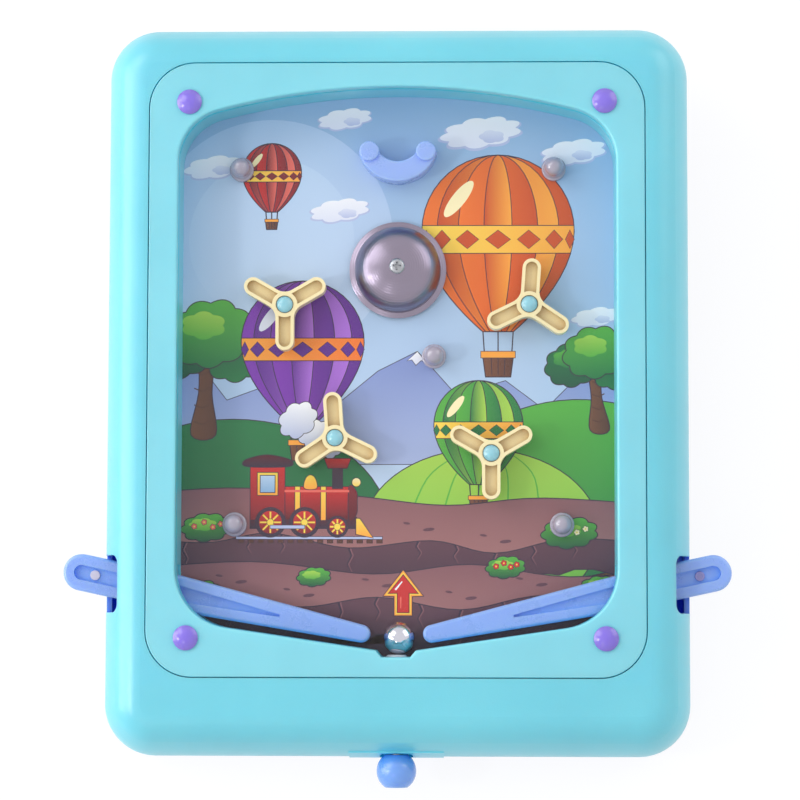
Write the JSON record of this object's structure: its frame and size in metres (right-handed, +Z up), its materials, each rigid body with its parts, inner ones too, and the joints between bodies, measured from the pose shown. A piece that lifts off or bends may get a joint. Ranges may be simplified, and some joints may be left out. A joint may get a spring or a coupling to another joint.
{
  "type": "tabletop pinball game",
  "caption": "Tabletop pinball game: a leaned plastic case with lever flippers, spring plunger, bell, spinners, pegs, catch cup and steel ball under a clear cover.",
  "frame": {"origin": "on the surface it rests on, under the middle of its bounding box", "axes": "+Z up, +Y from the player towards the far end, +X to the player's right"},
  "size_m": [0.2694, 0.3098, 0.0672],
  "materials": {
    "shell_blue": "moulded, fine matt texture",
    "housing_aqua": "moulded, glossy",
    "bezel_aqua": "moulded, satin gloss",
    "cover_clear": "clear and polished",
    "board": "hardboard, raw",
    "print": "printed in several colours, varnished",
    "flipper_blue": "moulded, glossy",
    "cup_blue": "moulded, glossy",
    "cap_purple": "moulded, glossy",
    "cap_aqua": "moulded, glossy",
    "spinner_yellow": "moulded, glossy",
    "peg_grey": "turned and plated",
    "bell_steel": "pressed and plated",
    "ball_steel": "polished",
    "steel": "zinc plated",
    "spring_steel": "drawn wire",
    "white_plastic": "moulded",
    "rubber": "matt"
  },
  "bodies": {
    "root": {"lower_shell": "shell_blue", "upper_housing": "housing_aqua", "bezel": "bezel_aqua", "clear_cover": "cover_clear", "playfield_board": "board", "playfield_print": "print", "flipper_pivot_left": "steel", "flipper_pivot_right": "steel", "flipper_spring_left": "spring_steel", "flipper_spring_right": "spring_steel", "rear_foot_left": "shell_blue", "rear_foot_right": "shell_blue", "front_pad_left": "rubber", "front_pad_right": "rubber", "plunger_guide": "white_plastic", "plunger_spring": "spring_steel", "bell_gong": "bell_steel", "bell_post": "white_plastic", "bell_screw": "steel", "catch_cup": "cup_blue", "bezel_screws": "steel", "case_screws": "steel", "board_screws": "steel", "cup_screws": "steel", "spinner_pin_1": "steel", "spinner_cap_1": "cap_aqua", "screw_cap_1": "cap_purple", "spinner_pin_2": "steel", "spinner_cap_2": "cap_aqua", "screw_cap_2": "cap_purple", "spinner_pin_3": "steel", "spinner_cap_3": "cap_aqua", "screw_cap_3": "cap_purple", "spinner_pin_4": "steel", "spinner_cap_4": "cap_aqua", "screw_cap_4": "cap_purple", "peg_1": "peg_grey", "peg_2": "peg_grey", "peg_3": "peg_grey", "peg_4": "peg_grey", "peg_5": "peg_grey"},
    "flipper_left": {"flipper_left": "flipper_blue"},
    "flipper_right": {"flipper_right": "flipper_blue"},
    "plunger": {"plunger_rod": "steel", "plunger_knob": "flipper_blue", "plunger_striker": "white_plastic", "plunger_washer": "steel"},
    "ball": {"ball": "ball_steel"},
    "spinner_1": {"spinner_1": "spinner_yellow"},
    "spinner_2": {"spinner_2": "spinner_yellow"},
    "spinner_3": {"spinner_3": "spinner_yellow"},
    "spinner_4": {"spinner_4": "spinner_yellow"}
  },
  "joints": [
    {"name": "flipper_left_swing", "type": "hinge", "parent": "root", "child": "flipper_left", "pos_m": [-0.099, -0.07488, 0.03003], "axis": [0, -0.0872, 0.9962], "range_deg": [0, 18], "stiffness_Nm_per_rad": 0.02, "springref_deg": -20.05, "deforming": ["flipper_spring_left"]},
    {"name": "flipper_right_swing", "type": "hinge", "parent": "root", "child": "flipper_right", "pos_m": [0.099, -0.07488, 0.03003], "axis": [0, 0.0872, -0.9962], "range_deg": [0, 18], "stiffness_Nm_per_rad": 0.02, "springref_deg": -20.05, "deforming": ["flipper_spring_right"]},
    {"name": "plunger_pull", "type": "slide", "parent": "root", "child": "plunger", "axis": [0, -0.9962, -0.0872], "range_m": [0, 0.016], "stiffness_N_per_m": 60, "springref_m": -0.008, "deforming": ["plunger_spring"]},
    {"name": "spinner_1_spin", "type": "hinge", "parent": "root", "child": "spinner_1", "pos_m": [-0.04574, 0.03961, 0.04035], "axis": [0, -0.0872, 0.9962], "continuous": true},
    {"name": "spinner_2_spin", "type": "hinge", "parent": "root", "child": "spinner_2", "pos_m": [0.0536, 0.03973, 0.04036], "axis": [0, -0.0872, 0.9962], "continuous": true},
    {"name": "spinner_3_spin", "type": "hinge", "parent": "root", "child": "spinner_3", "pos_m": [-0.02517, -0.01446, 0.03562], "axis": [0, -0.0872, 0.9962], "continuous": true},
    {"name": "spinner_4_spin", "type": "hinge", "parent": "root", "child": "spinner_4", "pos_m": [0.03815, -0.02062, 0.03508], "axis": [0, -0.0872, 0.9962], "continuous": true},
    {"name": "ball_roll", "type": "slide", "parent": "root", "child": "ball", "axis": [0, 0.9962, 0.0872], "range_m": [0, 0.12]}
  ]
}
